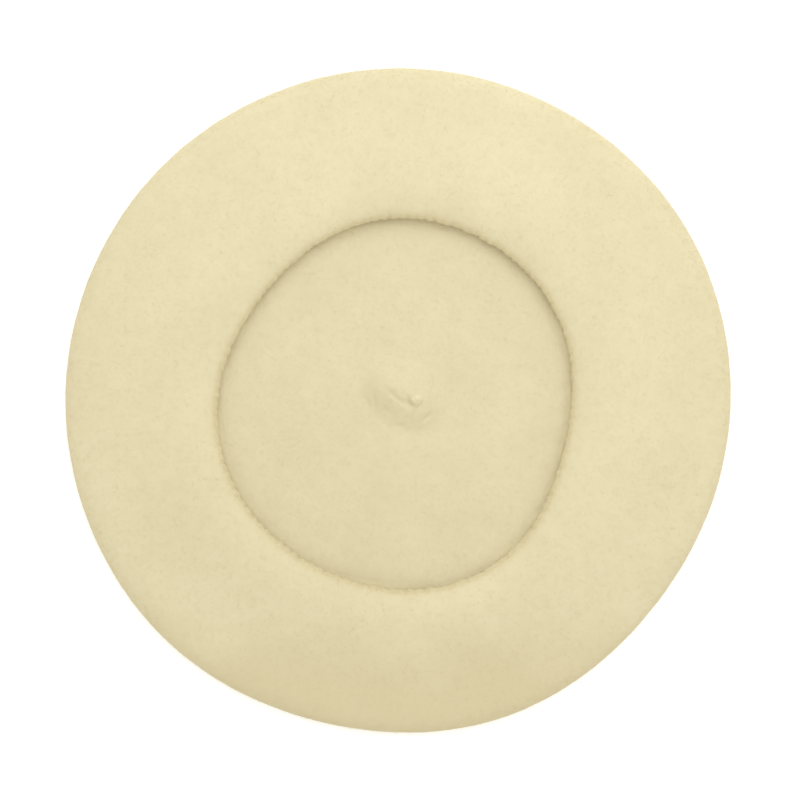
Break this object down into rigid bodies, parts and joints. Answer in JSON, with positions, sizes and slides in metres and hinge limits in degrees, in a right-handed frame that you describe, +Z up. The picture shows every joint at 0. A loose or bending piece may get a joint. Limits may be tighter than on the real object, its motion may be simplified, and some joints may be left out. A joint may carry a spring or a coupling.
{
  "type": "beret",
  "caption": "Round cream wool felt beret lying on its crown: flat crown, folded rim, puffed underside ring, head opening and a limp stalk tucked under the crown.",
  "frame": {"origin": "middle of the crown, on the surface that the beret lies on", "axes": "+Z up, out of the head opening; +X right and +Y to the back of the beret, away from where the opening is set forward"},
  "size_m": [0.28, 0.28, 0.0105],
  "materials": {
    "felt": "fulled and brushed knitted wool, soft nap, matte",
    "stalk_felt": "tight fulled wool, matte",
    "yarn": "two-ply wool yarn, matte"
  },
  "bodies": {
    "beret": {"crown": "felt", "underside": "felt", "stalk_knot": "stalk_felt", "gather_yarn": "yarn"},
    "stalk": {"stalk": "stalk_felt"}
  },
  "joints": [
    {"name": "stalk_bend", "type": "hinge", "parent": "beret", "child": "stalk", "pos_m": [0.0078, 0, 0.00175], "axis": [-0.4695, -0.8829, 0], "range_deg": [0, 90]}
  ]
}
